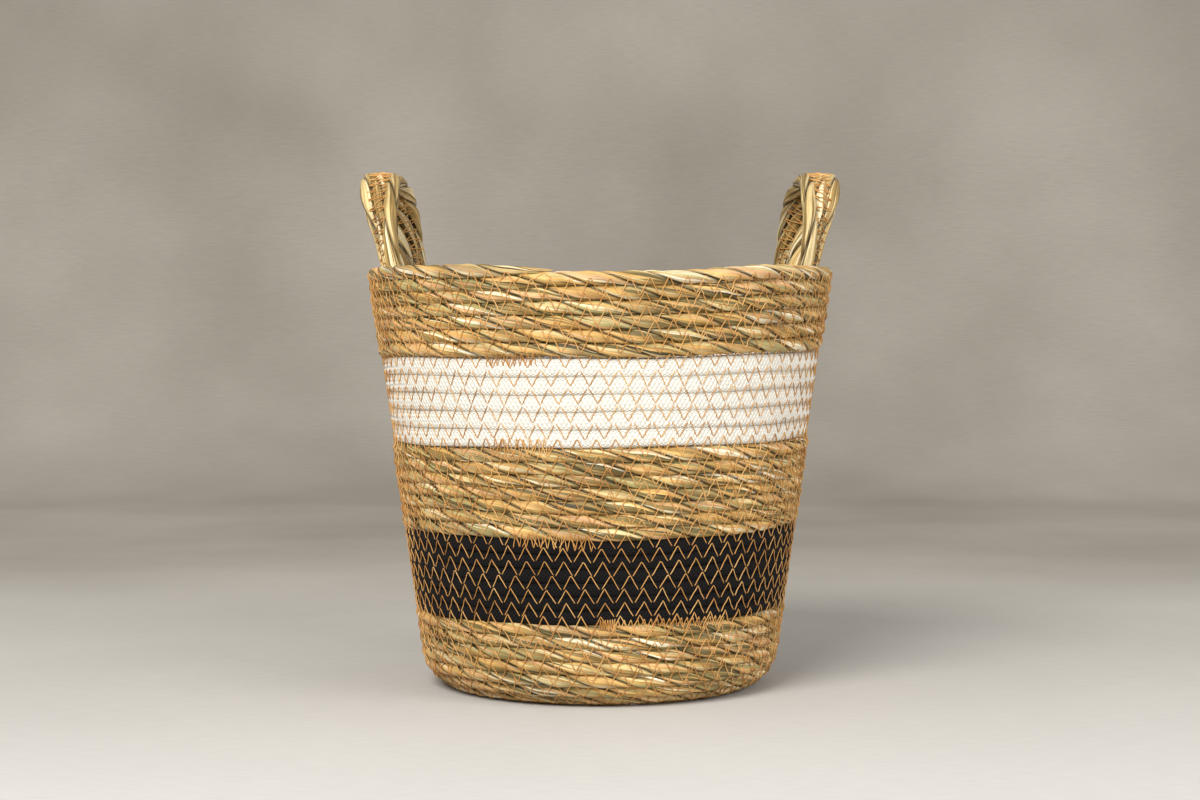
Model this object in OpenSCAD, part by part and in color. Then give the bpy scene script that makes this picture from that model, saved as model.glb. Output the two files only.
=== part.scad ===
// Coiled and stitched market basket: one long cord wound from the middle of the base up to the rim
// and sewn row to row, with two ribbon handles sewn inside the wall. Millimetres, +Z up.

/* [Basket] */

// Radius of the flat part of the base
base_r = 82; // [50:1:160]

// Radius of the rounded corner between base and wall, at the cord's centre
corner_r = 22; // [16:1:40]

// Outward lean of the wall in degrees
flare = 8.1; // [0:0.1:16]

/* [Cords] */

// Row height of the twisted seagrass cord
grass_pitch = 7.3; // [5.5:0.1:9]

// Row height of the black braided cord
black_pitch = 8.1; // [6:0.1:11]

// Row height of the white braided cord
white_pitch = 10; // [7:0.1:13]

// Thickness of the sewing thread
thread_d = 1; // [0.6:0.1:1.6]

/* [Rows] */

// Rows of the lower seagrass band, from the corner up
lower_rows = 8; // [6:1:14]

// Rows of the black band
black_rows = 6; // [2:1:12]

// Rows of the middle seagrass band
middle_rows = 7; // [2:1:12]

// Rows of the white band
white_rows = 5; // [2:1:12]

// Rows of the upper seagrass band, before the last half turn
upper_rows = 6; // [6:1:12]

/* [Handles] */

// Thickness of one handle cord
handle_d = 6.9; // [5:0.1:8]

// Distance between the middles of a handle's two legs
handle_span = 92; // [70:1:130]

// Height of the handle's middle line above its fold
handle_rise = 58; // [40:1:90]

// Outward reach of the top of the handle beyond its fold
handle_reach = 12.5; // [0:0.5:25]

// How far both handles are turned towards the back, degrees
handle_turn = 4; // [0:0.5:6]

// Length of handle sewn down inside the wall
root_len = 40; // [25:1:44]

/* [Fits] */

// Clearance between neighbouring rows
row_gap = 0.15; // [0.1:0.01:0.3]

// Clearance between a thread and the cords it lies on
thread_gap = 0.05; // [0.03:0.01:0.1]

// Clearance between the sewn handle ends and the wall
root_gap = 0.4; // [0.35:0.05:1]

// Distance from the fold to each cord end, so the ends never meet while the handle swings
fold_gap = 7.4; // [7:0.1:9]

/* [Hidden] */

$fn = 48;
half_turn = 180;
ring_fn = 144;
seam_angle = 79;            // cord changes lie here, at the back; the rim's end is opposite
start_s = 2;                // where the coil starts, measured from the middle of the base
base_flat = 0.4;            // how much of the lowest cord is pressed flat on the ground
band_cut = 0.4;             // cut back at a change of cord
neck_cut = 0.2;             // cut back at each joint between half turns
neck_half = 0.55;           // the neck's reach to each side of its joint
neck_share = 0.94;          // its radius, as a share of the cord's
start_taper = 3;            // tapered start of the coil, in the middle of the base
rim_taper = 12;             // tapered end of the coil, on the rim

grass_r = (grass_pitch - row_gap) / 2;
thread_r = thread_d / 2;
handle_r = handle_d / 2;
cord_step = handle_d + 0.2;             // between neighbouring cords of one handle

// Joints between half turns; even ones lie at the seam angle, odd ones opposite.
base_rows = round((base_r - start_s) / grass_pitch);
lower_from = 2 * base_rows;
black_from = lower_from + 2 * lower_rows;
middle_from = black_from + 2 * black_rows;
white_from = middle_from + 2 * middle_rows;
upper_from = white_from + 2 * white_rows;
coil_end = upper_from + 2 * upper_rows + 1;

function pitch(j) =
    j < black_from ? grass_pitch :
    j < middle_from ? black_pitch :
    j < white_from ? grass_pitch :
    j < upper_from ? white_pitch : grass_pitch;
function cord_r(j) = (pitch(j) - row_gap) / 2;
function half_step(j) = max(pitch(j - 1), pitch(j), pitch(j + 1)) / 2;

// Distance of every joint from the middle of the base, along the wall's section.
S = [for (j = 0, s = start_s; j <= coil_end; s = s + half_step(j), j = j + 1) s];

flat_r = start_s + base_rows * grass_pitch;    // the flat part ends at a joint, so its turns lie level
corner_turn = 90 - flare;
corner_len = corner_r * corner_turn * PI / half_turn;
wall_s = flat_r + corner_len;
base_z = grass_r - base_flat;
wall_r = flat_r + corner_r * sin(corner_turn);
wall_z = base_z + corner_r * (1 - cos(corner_turn));

function sec_a(s) = s < flat_r ? 0 : min((s - flat_r) / corner_r * half_turn / PI, corner_turn);
function sec_r(s) =
    s < flat_r ? s :
    s < wall_s ? flat_r + corner_r * sin(sec_a(s)) : wall_r + (s - wall_s) * sin(flare);
function sec_z(s) =
    s < flat_r ? base_z :
    s < wall_s ? base_z + corner_r * (1 - cos(sec_a(s))) : wall_z + (s - wall_s) * cos(flare);

// Joint points [radius, height] of the cord.
J = [for (s = S) [sec_r(s), sec_z(s)]];

// Joint points of a thread lying in the groove between row j and the row above it.
function out_dir(s) = [sin(sec_a(s)), -cos(sec_a(s))];
function near_r(j) = max(cord_r(max(j - 1, 0)), cord_r(j), cord_r(j + 1), cord_r(j + 2));
function groove(j) =
    sqrt(pow(near_r(j) + thread_r + thread_gap, 2) - pow(norm(J[j + 2] - J[j]) / 2, 2));
function seam_pt(j, side) =
    (J[j] + J[j + 2]) / 2 + side * groove(j) * out_dir((S[j] + S[j + 2]) / 2);
seam_end = coil_end - 2;
NEEDLE = [for (j = [0:seam_end]) seam_pt(j, 1)];
BOBBIN = [for (j = [0:seam_end]) seam_pt(j, -1)];

// One half turn of a round cord of radius r, between joint j and the next, cut back at both ends.
module half_ring(pts, j, r, back_from, back_to) {
    p = pts[j];
    q = pts[j + 1];
    ring_r = norm([p.x + q.x, q.y - p.y]) / 2;
    from = back_from / ring_r * half_turn / PI;
    to = half_turn - back_to / ring_r * half_turn / PI;
    rotate([0, 0, seam_angle + half_turn * (j % 2)])
        translate([(p.x - q.x) / 2, 0, (p.y + q.y) / 2])
            rotate([0, atan2(q.y - p.y, p.x + q.x), 0])
                rotate([0, 0, from])
                    rotate_extrude(angle = to - from, $fn = ring_fn)
                        translate([ring_r, 0])
                            circle(r);
}

// A short rod that joins two half turns at joint j. It is a little thinner than they are.
module neck(pts, j, r) {
    rotate([0, 0, seam_angle + half_turn * (j % 2)])
        translate([pts[j].x, 0, pts[j].y])
            rotate([90, 0, 0])
                cylinder(r = r * neck_share, h = 2 * neck_half, center = true);
}

// Half turns first to last of a band, with a neck between each two of them.
module winding(pts, first, last, r, cut_first, cut_last) {
    union() {
        for (j = [first:last])
            half_ring(pts, j, r, j == first ? cut_first : neck_cut, j == last ? cut_last : neck_cut);
        for (j = [first + 1:1:last])
            neck(pts, j, r);
    }
}

module coil(first, last) {
    winding(J, first, last, cord_r(first), first > 0 ? band_cut : neck_cut,
            last < coil_end - 1 ? band_cut : neck_cut);
}

module seam(pts, first, last) winding(pts, first, last, thread_r, band_cut, band_cut);

// Tapered end of the cord at joint j; dir 1 points along the winding, -1 against it.
module cord_end(j, dir, length, tip_r) {
    rotate([0, 0, seam_angle + half_turn * (j % 2)])
        translate([J[j].x, 0, J[j].y])
            rotate([-dir * 90, 0, 0])
                translate([0, 0, neck_cut])
                    cylinder(r1 = grass_r, r2 = tip_r, h = length);
}

module base_coil() color("#b8a36b")
    difference() {
        union() {
            coil(0, lower_from - 1);
            neck(J, 0, grass_r);
            cord_end(0, -1, start_taper, grass_r / 2);
        }
        translate([-2 * base_r, -2 * base_r, -grass_r])
            cube([4 * base_r, 4 * base_r, grass_r]);
    }

module lower_coil() color("#b09a5e")
    difference() {
        coil(lower_from, black_from - 1);
        translate([-2 * base_r, -2 * base_r, -grass_r])
            cube([4 * base_r, 4 * base_r, grass_r]);
    }

module black_coil() color("#1c1b1d") coil(black_from, middle_from - 1);

module middle_coil() color("#ae985c") coil(middle_from, white_from - 1);

module white_coil() color("#efebe4") coil(white_from, upper_from - 1);

module upper_coil() color("#a8975c")
    union() {
        coil(upper_from, coil_end - 1);
        neck(J, coil_end, grass_r);
        cord_end(coil_end, 1, rim_taper, grass_r / 3);
    }

module base_needle_thread() color("#c98b4b") seam(NEEDLE, 0, lower_from - 1);
module base_bobbin_thread() color("#c98b4b") seam(BOBBIN, 0, lower_from - 1);
module lower_needle_thread() color("#c98b4b") seam(NEEDLE, lower_from, black_from - 1);
module lower_bobbin_thread() color("#c98b4b") seam(BOBBIN, lower_from, black_from - 1);
module black_needle_thread() color("#c98b4b") seam(NEEDLE, black_from, middle_from - 1);
module black_bobbin_thread() color("#c98b4b") seam(BOBBIN, black_from, middle_from - 1);
module middle_needle_thread() color("#c98b4b") seam(NEEDLE, middle_from, white_from - 1);
module middle_bobbin_thread() color("#c98b4b") seam(BOBBIN, middle_from, white_from - 1);
module white_needle_thread() color("#c98b4b") seam(NEEDLE, white_from, upper_from - 1);
module white_bobbin_thread() color("#c98b4b") seam(BOBBIN, white_from, upper_from - 1);
module upper_needle_thread() color("#c98b4b") seam(NEEDLE, upper_from, seam_end - 1);
module upper_bobbin_thread() color("#c98b4b") seam(BOBBIN, upper_from, seam_end - 1);

// Handles. Everything below is the left handle's front half; the rest is mirrored from it.
fold_z = sec_z(S[coil_end - 1]) + grass_r;
wall_at_fold = wall_r + (fold_z - wall_z) * tan(flare);
fold_r = wall_at_fold - (grass_r + handle_r + root_gap) / cos(flare);
fold_turn = asin(handle_span / 2 / fold_r);
FOLD = [-fold_r * cos(fold_turn), -fold_r * sin(fold_turn), fold_z];
UP = [-sin(flare) * cos(fold_turn), -sin(flare) * sin(fold_turn), cos(flare)];
ALONG = [sin(fold_turn), -cos(fold_turn), 0];           // across the ribbon, along the wall
INWARD = cross(UP, ALONG);
TOP = [FOLD.x - handle_reach, 0, fold_z + handle_rise];
leg_pull = 0.62 * handle_rise;
top_pull = 0.30 * handle_span;

function bez(a, b, c, d, u) =
    pow(1 - u, 3) * a + 3 * u * pow(1 - u, 2) * b + 3 * u * u * (1 - u) * c + pow(u, 3) * d;
function bez_d(a, b, c, d, u) =
    3 * pow(1 - u, 2) * (b - a) + 6 * u * (1 - u) * (c - b) + 3 * u * u * (d - c);
function unit(v) = v / norm(v);
function ease(u) = u * u * (3 - 2 * u);
function arch_pt(u) = bez(FOLD, FOLD + leg_pull * UP, TOP - [0, top_pull, 0], TOP, u);
function arch_dir(u) = unit(bez_d(FOLD, FOLD + leg_pull * UP, TOP - [0, top_pull, 0], TOP, u));
function twist_dir(u) =
    let (a = -(90 - fold_turn) * (1 - ease(u))) [cos(a), sin(a), 0];
function across(u) =
    let (t = arch_dir(u), w = twist_dir(u)) unit(w - (w * t) * t);

// Frames [point, across, along] over the whole arch, front leg up and back leg down.
arch_steps = 20;
u0 = fold_gap / (3 * leg_pull);
HALF = [for (i = [0:arch_steps]) let (u = u0 + (1 - u0) * i / arch_steps)
        [arch_pt(u), across(u), arch_dir(u)]];
function flip_y(v) = [v.x, -v.y, v.z];
ARCH = concat(HALF, [for (i = [arch_steps - 1:-1:0])
                     [flip_y(HALF[i][0]), flip_y(HALF[i][1]), -flip_y(HALF[i][2])]]);

// Closed tube through frames [centre, side, radius, direction].
tube_sides = 10;
module tube(rings, sides) {
    n = len(rings);
    pts = [for (g = rings, k = [0:sides - 1])
           let (b = cross(g[3], g[1]), a = 360 * k / sides)
           g[0] + g[2] * (cos(a) * g[1] + sin(a) * b)];
    walls = [for (i = [0:n - 2], k = [0:sides - 1])
             let (m = (k + 1) % sides)
             [i * sides + k, (i + 1) * sides + k, (i + 1) * sides + m, i * sides + m]];
    lids = [[for (k = [0:sides - 1]) k], [for (k = [sides - 1:-1:0]) (n - 1) * sides + k]];
    polyhedron(pts, concat(walls, lids), convexity = 6);
}

// Rounded cord end: short rings closing in, [set back, share of the radius].
END = [[1, 0.25], [0.86, 0.51], [0.5, 0.87]];

module arch_cord(k) {
    last = len(ARCH) - 1;
    body = [for (g = ARCH) [g[0] + k * cord_step * g[1], g[1], handle_r, g[2]]];
    head = [for (e = END) [body[0][0] - e[0] * handle_r * body[0][3], body[0][1],
                           e[1] * handle_r, body[0][3]]];
    tail = [for (i = [len(END) - 1:-1:0]) let (e = END[i])
            [body[last][0] + e[0] * handle_r * body[last][3], body[last][1],
             e[1] * handle_r, body[last][3]]];
    tube(concat(head, body, tail), tube_sides);
}

// Zig-zag thread over one face of the arch; side 1 is the outer face, -1 the inner one.
zig_steps = 3;
zig_frames = 2;
zig_first = 2;
thread_sides = 6;
module arch_stitch(side) {
    lift = handle_r + thread_r + thread_gap;
    n = len(ARCH) - 1;
    fine = [for (i = [zig_first * zig_steps:(n - zig_first) * zig_steps])
            let (a = floor(i / zig_steps), f = i / zig_steps - a, g = ARCH[a], h = ARCH[min(a + 1, n)],
                 ph = cos(half_turn * i / zig_steps / zig_frames),
                 w = unit(g[1] + f * (h[1] - g[1])), t = unit(g[2] + f * (h[2] - g[2])),
                 c = g[0] + f * (h[0] - g[0]))
            c + ph * cord_step * w + side * lift * cross(w, t)];
    m = len(fine) - 1;
    rings = [for (i = [0:m])
             let (t = unit(fine[min(i + 1, m)] - fine[max(i - 1, 0)]),
                  a = floor(i / zig_steps) + zig_first,
                  nrm = cross(ARCH[a][1], ARCH[a][2]),
                  s = unit(nrm - (nrm * t) * t))
             [fine[i], s, thread_r, t]];
    tube(rings, thread_sides);
}

// Straight cord from a to b, its ends drawn in past them.
end_rise = 0.8;
end_tip = 0.55;
module rod(a, b, r) {
    v = b - a;
    h = norm(v);
    translate(a)
        rotate([0, acos(v.z / h), atan2(v.y, v.x)])
            rotate_extrude()
                polygon([[0, -end_rise * r], [end_tip * r, -end_rise * r], [r, 0], [r, h],
                         [end_tip * r, h + end_rise * r], [0, h + end_rise * r]]);
}

// Three cord ends lying side by side on the inside of the wall.
module root() {
    for (k = [-1:1])
        rod(FOLD + k * cord_step * ALONG - root_len * UP,
            FOLD + k * cord_step * ALONG - fold_gap * UP, handle_r);
}

stitch_rows = 6;
stitch_steps = 6;
module root_stitch() {
    lift = handle_r + thread_r + thread_gap;
    n = stitch_rows * stitch_steps;
    rise = (root_len - 2 * fold_gap) / n;
    pts = [for (i = [0:n])
           FOLD - (root_len - fold_gap / 2 - i * rise) * UP
           + cos(half_turn * i / stitch_steps) * cord_step * ALONG + lift * INWARD];
    tube([for (i = [0:n])
          [pts[i], INWARD, thread_r, unit(pts[min(i + 1, n)] - pts[max(i - 1, 0)])]], thread_sides);
}

module back() mirror([0, 1, 0]) children();
module left() rotate([0, 0, -handle_turn]) children();
module right() mirror([1, 0, 0]) left() children();

module left_front_root() color("#c9b98a") left() root();
module left_back_root() color("#c9b98a") left() back() root();
module right_front_root() color("#c9b98a") right() root();
module right_back_root() color("#c9b98a") right() back() root();

module left_front_root_stitch() color("#c98b4b") left() root_stitch();
module left_back_root_stitch() color("#c98b4b") left() back() root_stitch();
module right_front_root_stitch() color("#c98b4b") right() root_stitch();
module right_back_root_stitch() color("#c98b4b") right() back() root_stitch();

module left_handle_outer_cord() color("#d2c496") left() arch_cord(-1);
module left_handle_middle_cord() color("#cbbb88") left() arch_cord(0);
module left_handle_inner_cord() color("#d2c496") left() arch_cord(1);
module left_handle_stitch() color("#c98b4b") left() {
    arch_stitch(1);
    arch_stitch(-1);
}

module right_handle_outer_cord() color("#d2c496") right() arch_cord(-1);
module right_handle_middle_cord() color("#cbbb88") right() arch_cord(0);
module right_handle_inner_cord() color("#d2c496") right() arch_cord(1);
module right_handle_stitch() color("#c98b4b") right() {
    arch_stitch(1);
    arch_stitch(-1);
}

base_coil();
lower_coil();
black_coil();
middle_coil();
white_coil();
upper_coil();
base_needle_thread();
base_bobbin_thread();
lower_needle_thread();
lower_bobbin_thread();
black_needle_thread();
black_bobbin_thread();
middle_needle_thread();
middle_bobbin_thread();
white_needle_thread();
white_bobbin_thread();
upper_needle_thread();
upper_bobbin_thread();
left_front_root();
left_back_root();
right_front_root();
right_back_root();
left_front_root_stitch();
left_back_root_stitch();
right_front_root_stitch();
right_back_root_stitch();
left_handle_outer_cord();
left_handle_middle_cord();
left_handle_inner_cord();
left_handle_stitch();
right_handle_outer_cord();
right_handle_middle_cord();
right_handle_inner_cord();
right_handle_stitch();
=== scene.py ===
# %% [markdown]
# # A coiled market basket
#
# A basket of this kind is one long soft cord, wound from the middle of the base up to the rim
# and sewn to itself, row to row, with a sewing machine's zig-zag. Three stretches are twisted
# seagrass, one is black cotton and one is white cotton. Two flat ribbons of three seagrass cords
# are the handles. This lesson builds the looks of it around a finished CAD part: the CAD part
# holds the sizes, the joints and the weight, and the wall's pieces made here ride on its basket body.

# %% Tools and the CAD part
import math

import bpy
import numpy as np
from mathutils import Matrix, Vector


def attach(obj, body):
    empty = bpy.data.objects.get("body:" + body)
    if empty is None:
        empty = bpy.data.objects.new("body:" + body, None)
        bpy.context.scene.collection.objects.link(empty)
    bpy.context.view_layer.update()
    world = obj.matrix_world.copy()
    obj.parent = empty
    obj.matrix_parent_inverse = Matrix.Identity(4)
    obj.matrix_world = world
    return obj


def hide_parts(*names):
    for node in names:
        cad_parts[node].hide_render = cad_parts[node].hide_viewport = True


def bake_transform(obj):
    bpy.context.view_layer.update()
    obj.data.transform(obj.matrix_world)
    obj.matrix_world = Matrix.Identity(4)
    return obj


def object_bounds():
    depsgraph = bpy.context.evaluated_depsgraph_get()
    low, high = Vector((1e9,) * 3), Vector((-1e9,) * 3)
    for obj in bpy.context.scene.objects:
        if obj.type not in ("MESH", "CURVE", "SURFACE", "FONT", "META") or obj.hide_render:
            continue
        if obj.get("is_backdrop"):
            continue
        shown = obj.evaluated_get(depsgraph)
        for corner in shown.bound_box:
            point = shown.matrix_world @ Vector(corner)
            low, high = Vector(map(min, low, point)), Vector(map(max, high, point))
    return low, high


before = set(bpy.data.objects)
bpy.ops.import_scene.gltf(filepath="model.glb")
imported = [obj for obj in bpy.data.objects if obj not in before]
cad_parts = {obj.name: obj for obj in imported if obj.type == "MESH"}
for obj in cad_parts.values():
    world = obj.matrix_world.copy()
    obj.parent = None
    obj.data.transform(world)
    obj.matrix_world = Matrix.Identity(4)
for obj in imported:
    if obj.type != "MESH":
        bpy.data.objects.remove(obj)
cad_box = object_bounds()
MM = 0.001

# %% [markdown]
# ## The coil's rule
#
# A coil can be drawn as a smooth spiral. The maker of the CAD part drew it as half turns that
# meet at two joints, one at the back and one at the front, each half turn centred half a row
# beside the last. The same rule is used here, so the soft cord lies exactly where the plain one
# does. Heights and widths come from the cord's row height, from how wide the flat base is,
# and from the lean of the wall.

# %% Sizes of the coil
GRASS_ROW, BLACK_ROW, WHITE_ROW = 7.3 * MM, 8.1 * MM, 10.0 * MM
ROW_GAP = 0.15 * MM
START = 2.0 * MM
BASE_ROWS, LOWER_ROWS, BLACK_ROWS, MIDDLE_ROWS, WHITE_ROWS, UPPER_ROWS = 11, 8, 6, 7, 5, 6
SEAM_ANGLE = math.radians(79)
LEAN = math.radians(8.1)
CORNER_R = 22 * MM
PRESSED = 0.4 * MM

LOWER_FROM = 2 * BASE_ROWS
BLACK_FROM = LOWER_FROM + 2 * LOWER_ROWS
MIDDLE_FROM = BLACK_FROM + 2 * BLACK_ROWS
WHITE_FROM = MIDDLE_FROM + 2 * MIDDLE_ROWS
UPPER_FROM = WHITE_FROM + 2 * WHITE_ROWS
COIL_END = UPPER_FROM + 2 * UPPER_ROWS + 1


def row_height(half_turn):
    """Row height of the cord in that half turn, counted from the middle of the base."""
    if BLACK_FROM <= half_turn < MIDDLE_FROM:
        return BLACK_ROW
    if WHITE_FROM <= half_turn < UPPER_FROM:
        return WHITE_ROW
    return GRASS_ROW


def joint_distances():
    """How far along the basket's section each joint lies from the middle of the base."""
    found = [START]
    for k in range(COIL_END):
        found.append(found[-1] + max(row_height(k - 1), row_height(k), row_height(k + 1)) / 2)
    return np.array(found)


JOINT_S = joint_distances()
FLAT_R = START + BASE_ROWS * GRASS_ROW
CORNER_TURN = math.pi / 2 - LEAN
WALL_S = FLAT_R + CORNER_R * CORNER_TURN
BASE_Z = (GRASS_ROW - ROW_GAP) / 2 - PRESSED
print("rows:", COIL_END / 2, "section length mm:", round(JOINT_S[-1] / MM, 1))


def section(s):
    """Radius, height and tilt of the section at distance s from the middle of the base."""
    tilt = np.clip((s - FLAT_R) / CORNER_R, 0, CORNER_TURN)
    past = np.clip(s - WALL_S, 0, None)
    radius = np.minimum(s, FLAT_R) + CORNER_R * np.sin(tilt) + past * math.sin(LEAN)
    height = BASE_Z + CORNER_R * (1 - np.cos(tilt)) + past * math.cos(LEAN)
    return radius, height, tilt


JOINT_R, JOINT_Z, _ = section(JOINT_S)

# %% [markdown]
# ## A path that knows which way is out
#
# A swept cord needs more than a line. At every point it must know which way is out of the wall
# and which way leads up to the next row, or twist and stitches would wander. Blender's curves
# can guess such directions, but a guess flips on tight bends. So the path is a string of points
# that carries both directions, its length so far and its fullness as attributes.


# %% Paths along the coil
def section_at(radius, height, s, angle):
    """Point, out and up directions at an angle round the basket."""
    _, _, tilt = section(s)
    e_r = np.stack([np.cos(angle), np.sin(angle), np.zeros_like(angle)], 1)
    e_z = np.array([[0.0, 0.0, 1.0]])
    out = np.sin(tilt)[:, None] * e_r - np.cos(tilt)[:, None] * e_z
    up = np.cos(tilt)[:, None] * e_r + np.sin(tilt)[:, None] * e_z
    return radius[:, None] * e_r + height[:, None] * e_z, out, up


def unit(v):
    return v / np.linalg.norm(v, axis=-1, keepdims=True)


def smooth(x, start, end):
    x = np.clip((x - start) / (end - start), 0, 1)
    return x * x * (3 - 2 * x)


# The rim steps up where its cord ends, climbs on from there and falls slowly round the rest.
RIM_STEP, RIM_CLIMB, WAVE = 2.2 * MM, 4.6 * MM, 0.45 * MM
TAPER_TURN, STEP_TURN, CLIMB_FROM, CLIMB_TURN = 0.06, 0.011, 0.03, 0.165
RIM_FADES = 5.4             # turns below the rim over which its rise fades
WAVE_FROM, WAVE_FULL = 12, 16   # turns from the base's middle over which the waves set in


def handwork(below, angle):
    """How far the maker's hand led the cord up; below is in turns back from the rim's end."""
    ahead = (-below) % 1.0
    ahead = np.where(ahead > 1 - TAPER_TURN, ahead - 1, ahead)
    rise = RIM_STEP * smooth(ahead, -TAPER_TURN, STEP_TURN)
    rise += RIM_CLIMB * smooth(ahead, CLIMB_FROM, CLIMB_TURN)
    rise -= (RIM_STEP + RIM_CLIMB) * np.clip((ahead - CLIMB_TURN) / (1 - TAPER_TURN - CLIMB_TURN), 0, 1)
    share = np.where(below < TAPER_TURN, 0.0,
                     np.clip(1 - (below - 1 - TAPER_TURN) / RIM_FADES, 0, 1))
    wave = np.sin(3 * angle + 0.5 * below) + 0.7 * np.sin(7 * angle - 0.9 * below + 1)
    wave *= smooth(COIL_END / 2 - below, WAVE_FROM, WAVE_FULL) * smooth(below, 0, 1)
    return rise * share + WAVE * wave


def half_turn_path(rs, zs, ss, k, turns, pair):
    """Points of half turn k between two joints, at turns from 0 to 1 round it.

    For a seam, pair is true: it lies between this half turn and the one a turn higher.
    """
    span = math.hypot(rs[k] + rs[k + 1], zs[k + 1] - zs[k])
    a = math.pi * turns
    slope = math.atan2(zs[k + 1] - zs[k], rs[k] + rs[k + 1])
    x = (rs[k] - rs[k + 1]) / 2 + span / 2 * np.cos(a) * math.cos(slope)
    z = (zs[k] + zs[k + 1]) / 2 - span / 2 * np.cos(a) * math.sin(slope)
    y = span / 2 * np.sin(a)
    spin = SEAM_ANGLE + math.pi * (k % 2)
    angle = np.arctan2(y, x) + spin
    s = ss[k] + (ss[k + 1] - ss[k]) * (1 - np.cos(a)) / 2
    point, out, up = section_at(np.hypot(x, y), z, s, angle)
    below = (COIL_END - k - turns) / 2
    led = handwork(below, angle)
    if pair:
        led = (led + handwork(np.maximum(below - 1, 0), angle)) / 2
    return point + led[:, None] * up, out, up


FEWEST_POINTS = 24          # of a half turn, for the tight ones in the middle of the base


def coil_path(rs, zs, ss, first, last, spacing, pair=False):
    """Evenly spaced path over half turns first to last."""
    points, outs, ups = [], [], []
    for k in range(first, last + 1):
        length = math.pi * (rs[k] + rs[k + 1]) / 2
        n = max(FEWEST_POINTS, round(length / spacing))
        p, o, u = half_turn_path(rs, zs, ss, k, np.arange(n + (k == last)) / n, pair)
        points.append(p), outs.append(o), ups.append(u)
    return finish_path(np.concatenate(points), np.concatenate(outs), np.concatenate(ups))


def finish_path(points, out, up):
    """Squares the directions to the path and measures it."""
    t = unit(np.gradient(points, axis=0))
    out = unit(out - (out * t).sum(1, keepdims=True) * t)
    up = unit(up - (up * t).sum(1, keepdims=True) * t)
    step = np.linalg.norm(np.diff(points, axis=0), axis=1)
    along = np.concatenate([[0.0], np.cumsum(step)])
    return {"point": points, "out": out, "up": up, "along": along, "full": np.ones(len(points))}


def path_object(name, path):
    """The path as a mesh of loose points with attributes, for a node tree to read."""
    mesh = bpy.data.meshes.new(name)
    mesh.vertices.add(len(path["point"]))
    mesh.vertices.foreach_set("co", path["point"].astype(np.float32).ravel())
    for key in ("out", "up"):
        mesh.attributes.new(key, "FLOAT_VECTOR", "POINT").data.foreach_set(
            "vector", path[key].astype(np.float32).ravel())
    for key in ("along", "full"):
        mesh.attributes.new(key, "FLOAT", "POINT").data.foreach_set(
            "value", path[key].astype(np.float32))
    made = bpy.data.objects.new(name, mesh)
    bpy.context.scene.collection.objects.link(made)
    return made


whole = coil_path(JOINT_R, JOINT_Z, JOINT_S, 0, COIL_END - 1, 2.5 * MM)
print("whole coil:", round(whole["along"][-1], 2), "m in", len(whole["point"]), "points")

# %% [markdown]
# ## Small helpers for node trees
#
# A tree made by script is long when every link has its own line. These helpers add a node,
# plug values or other nodes' sockets into it and hand back its result, so a tree reads like
# a sum. The same helpers serve geometry and material trees.


# %% Node helpers
def plug(tree, socket, value):
    if isinstance(value, bpy.types.NodeSocket):
        tree.links.new(value, socket)
    elif value is not None:
        socket.default_value = value


def put(tree, kind, *values, named=None, **settings):
    """Adds a node; values fill its shown inputs in order, named fills inputs by name."""
    made = tree.nodes.new(kind)
    for key, value in settings.items():
        setattr(made, key, value)
    shown = [s for s in made.inputs if s.enabled]
    for socket, value in zip(shown, values):
        plug(tree, socket, value)
    for key, value in (named or {}).items():
        plug(tree, next(s for s in made.inputs if s.name == key and s.enabled), value)
    return made


def result(made, name=None):
    return next(s for s in made.outputs if s.enabled and (name is None or s.name == name))


def calc(tree, operation, *values):
    return result(put(tree, "ShaderNodeMath", *values, operation=operation))


def vec(tree, operation, *values):
    return result(put(tree, "ShaderNodeVectorMath", *values, operation=operation))


def xyz(tree, x, y, z):
    return result(put(tree, "ShaderNodeCombineXYZ", x, y, z))


def noise(tree, at, scale=1.0, detail=1.0, rough=0.5):
    made = put(tree, "ShaderNodeTexNoise", named={"Vector": at, "Scale": scale, "Detail": detail,
                                                  "Roughness": rough})
    return result(made, "Fac")


def spread(tree, value, low, high, to_low, to_high):
    """Maps a value from one range to another, clamped."""
    return result(put(tree, "ShaderNodeMapRange", value, low, high, to_low, to_high))


SOCKETS = {bool: "NodeSocketBool", int: "NodeSocketInt", float: "NodeSocketFloat"}


def new_tree(name, sizes, kinds=None):
    """An empty geometry tree with named inputs; returns it and its input sockets by name."""
    tree = bpy.data.node_groups.new(name, "GeometryNodeTree")
    tree.interface.new_socket("Geometry", in_out="INPUT", socket_type="NodeSocketGeometry")
    for key, value in sizes.items():
        kind = (kinds or {}).get(key) or SOCKETS[type(value)]
        made = tree.interface.new_socket(key, in_out="INPUT", socket_type=kind)
        if value is not None:
            made.default_value = value
    tree.interface.new_socket("Geometry", in_out="OUTPUT", socket_type="NodeSocketGeometry")
    given = tree.nodes.new("NodeGroupInput")
    return tree, {s.name: s for s in given.outputs if s.name}


def close_tree(tree, geometry, material):
    """Every tree ends the same way: real mesh, smooth, with its material."""
    real = result(put(tree, "GeometryNodeRealizeInstances", geometry))
    soft = result(put(tree, "GeometryNodeSetShadeSmooth", real))
    painted = result(put(tree, "GeometryNodeSetMaterial",
                         named={"Geometry": soft, "Material": material}))
    end = tree.nodes.new("NodeGroupOutput")
    tree.links.new(painted, end.inputs[0])
    return tree


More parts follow.
